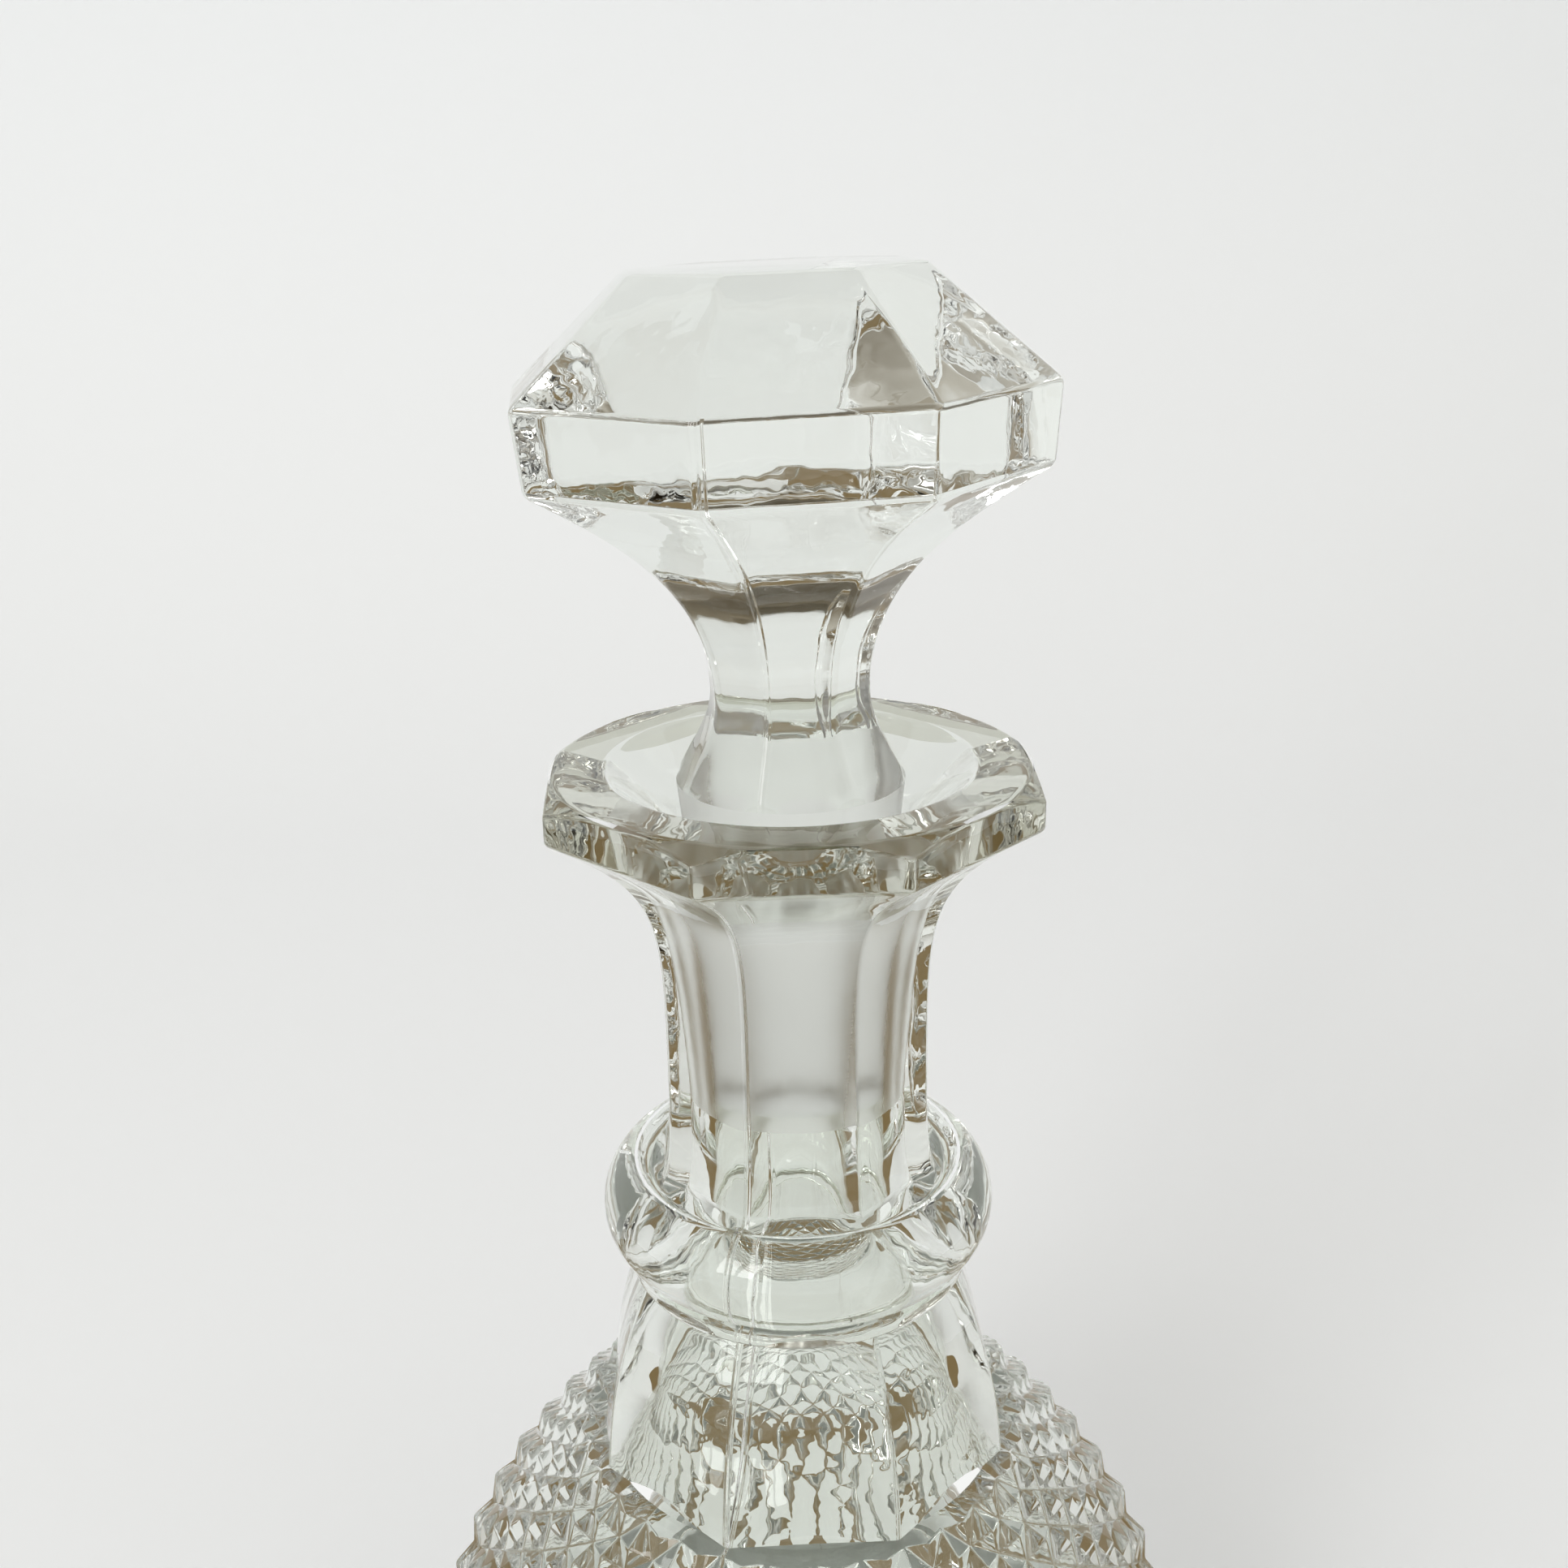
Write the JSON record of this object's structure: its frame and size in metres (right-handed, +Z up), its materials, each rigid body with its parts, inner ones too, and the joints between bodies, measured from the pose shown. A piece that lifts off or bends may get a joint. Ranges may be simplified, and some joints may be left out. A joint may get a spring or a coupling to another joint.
{
  "type": "perfume bottle",
  "caption": "Clear pressed-glass perfume bottle with an eight-sided neck, a diamond-point body and a ground-glass stopper with a faceted head.",
  "frame": {"origin": "centre of the foot, on the surface that the bottle stands on", "axes": "+Z up the bottle's axis towards the stopper; one flat of the eight-sided neck faces -Y"},
  "size_m": [0.077, 0.077, 0.1674],
  "materials": {
    "bottle_glass": "clear pressed soda glass, fire-polished, with a ground seat in the neck",
    "stopper_glass": "clear pressed soda glass with a finely ground plug"
  },
  "bodies": {
    "bottle": {"bottle": "bottle_glass"},
    "stopper": {"stopper": "stopper_glass"}
  },
  "joints": [
    {"name": "stopper_lift", "type": "slide", "parent": "bottle", "child": "stopper", "axis": [0, 0, 1], "range_m": [0, 0.036]}
  ]
}
